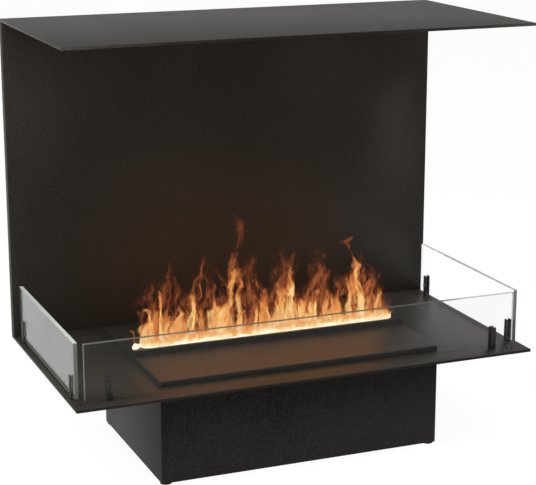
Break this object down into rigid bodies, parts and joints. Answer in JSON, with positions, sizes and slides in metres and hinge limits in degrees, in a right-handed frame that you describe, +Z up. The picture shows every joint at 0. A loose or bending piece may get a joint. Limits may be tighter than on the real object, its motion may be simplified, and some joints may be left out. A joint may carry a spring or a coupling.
{
  "type": "water vapour fireplace",
  "caption": "Free-standing water vapour fireplace: C-shaped dark steel shell on a narrow pedestal, glass guard on three sides, mist cassette under a stepped deck.",
  "frame": {"origin": "on the floor, under the middle of the hearth plate and canopy outline", "axes": "+X to the right along the width, +Y to the back towards the wall, +Z up"},
  "size_m": [1, 0.52, 0.9],
  "materials": {
    "powder_coat": "fine texture powder coat, matt to satin",
    "zinc_plate": "zinc plated sheet and fasteners",
    "clamp_steel": "small plated screws",
    "pane_glass": "clear toughened glass with a green edge",
    "clip_black": "black coated, satin",
    "soft_rubber": "soft black rubber",
    "throat_steel": "stainless sheet",
    "lamp_aluminium": "extruded, natural",
    "amber_guide": "frosted acrylic, amber",
    "trough_plastic": "moulded, grey",
    "tank_plastic": "moulded, grey",
    "black_plastic": "moulded, black",
    "fan_plastic": "moulded, dark grey",
    "disc_ceramic": "piezo ceramic",
    "cap_blue": "moulded, blue",
    "stem_steel": "stainless tube",
    "float_white": "foamed plastic, white",
    "hose_silicone": "translucent silicone",
    "board_green": "coated circuit board",
    "button_red": "moulded, red",
    "button_grey": "moulded, dark grey",
    "supply_aluminium": "cast, natural",
    "wire_sleeve": "woven sleeve over wires"
  },
  "bodies": {
    "fireplace": {"hearth_plate": "powder_coat", "back_panel": "powder_coat", "panel_rails": "zinc_plate", "canopy_plate": "powder_coat", "panel_bolts": "zinc_plate", "canopy_bolts": "zinc_plate", "pedestal_shell": "powder_coat", "base_plate": "zinc_plate", "foot_pads": "soft_rubber", "pad_bolts": "zinc_plate", "frame_bolts": "zinc_plate", "rear_panel": "powder_coat", "rear_panel_screws": "zinc_plate", "front_clips": "clip_black", "left_clips": "clip_black", "right_clips": "clip_black", "clip_liners": "soft_rubber", "clamp_screws": "clamp_steel", "clip_bolts": "zinc_plate", "cassette_case": "zinc_plate", "cover_bumpers": "soft_rubber", "rear_cover": "powder_coat", "rear_cover_screws": "clip_black", "nozzle_bar": "powder_coat", "bar_screws": "clip_black", "mist_throat": "throat_steel", "led_rails": "lamp_aluminium", "light_guides": "amber_guide", "mist_trough": "trough_plastic", "disc_housings": "black_plastic", "mist_discs": "disc_ceramic", "left_fan_frame": "black_plastic", "right_fan_frame": "black_plastic", "water_tank": "tank_plastic", "tank_lid": "black_plastic", "float_stem": "stem_steel", "feed_pump": "black_plastic", "suction_hose": "hose_silicone", "delivery_hose": "hose_silicone", "control_panel": "black_plastic", "button_board": "board_green", "power_supply": "supply_aluminium", "control_board": "board_green", "dc_loom": "wire_sleeve", "supply_lead": "wire_sleeve", "power_inlet": "black_plastic", "switch_body": "black_plastic"},
    "front_cover": {"front_cover": "powder_coat"},
    "front_glass": {"front_glass": "pane_glass"},
    "left_glass": {"left_glass": "pane_glass"},
    "right_glass": {"right_glass": "pane_glass"},
    "filler_cap": {"filler_cap": "cap_blue"},
    "float_ring": {"float_ring": "float_white"},
    "left_fan_rotor": {"left_fan_rotor": "fan_plastic"},
    "right_fan_rotor": {"right_fan_rotor": "fan_plastic"},
    "power_button": {"power_button": "button_red"},
    "flame_up_button": {"flame_up_button": "button_grey"},
    "flame_down_button": {"flame_down_button": "button_grey"},
    "switch_rocker": {"switch_rocker": "button_red"}
  },
  "joints": [
    {"name": "front_cover_lift", "type": "slide", "parent": "fireplace", "child": "front_cover", "axis": [0, 0, 1], "range_m": [0, 0.06]},
    {"name": "front_glass_lift", "type": "slide", "parent": "fireplace", "child": "front_glass", "axis": [0, 0, 1], "range_m": [0, 0.05]},
    {"name": "left_glass_lift", "type": "slide", "parent": "fireplace", "child": "left_glass", "axis": [0, 0, 1], "range_m": [0, 0.05]},
    {"name": "right_glass_lift", "type": "slide", "parent": "fireplace", "child": "right_glass", "axis": [0, 0, 1], "range_m": [0, 0.05]},
    {"name": "filler_cap_turn", "type": "hinge", "parent": "fireplace", "child": "filler_cap", "pos_m": [-0.19, -0.095, 0.19], "axis": [0, 0, 1], "range_deg": [0, 90]},
    {"name": "float_rise", "type": "slide", "parent": "fireplace", "child": "float_ring", "axis": [0, 0, 1], "range_m": [0, 0.115]},
    {"name": "left_fan_spin", "type": "hinge", "parent": "fireplace", "child": "left_fan_rotor", "pos_m": [-0.15, 0.038, 0.126], "axis": [0, 1, 0], "continuous": true},
    {"name": "right_fan_spin", "type": "hinge", "parent": "fireplace", "child": "right_fan_rotor", "pos_m": [0.15, 0.038, 0.126], "axis": [0, 1, 0], "continuous": true},
    {"name": "power_press", "type": "slide", "parent": "fireplace", "child": "power_button", "axis": [0, 0, -1], "range_m": [0, 0.0012], "stiffness_N_per_m": 500},
    {"name": "flame_up_press", "type": "slide", "parent": "fireplace", "child": "flame_up_button", "axis": [0, 0, -1], "range_m": [0, 0.0012], "stiffness_N_per_m": 500},
    {"name": "flame_down_press", "type": "slide", "parent": "fireplace", "child": "flame_down_button", "axis": [0, 0, -1], "range_m": [0, 0.0012], "stiffness_N_per_m": 500},
    {"name": "switch_tip", "type": "hinge", "parent": "fireplace", "child": "switch_rocker", "pos_m": [-0.122, 0.195, 0.052], "axis": [1, 0, 0], "range_deg": [0, 16]}
  ]
}
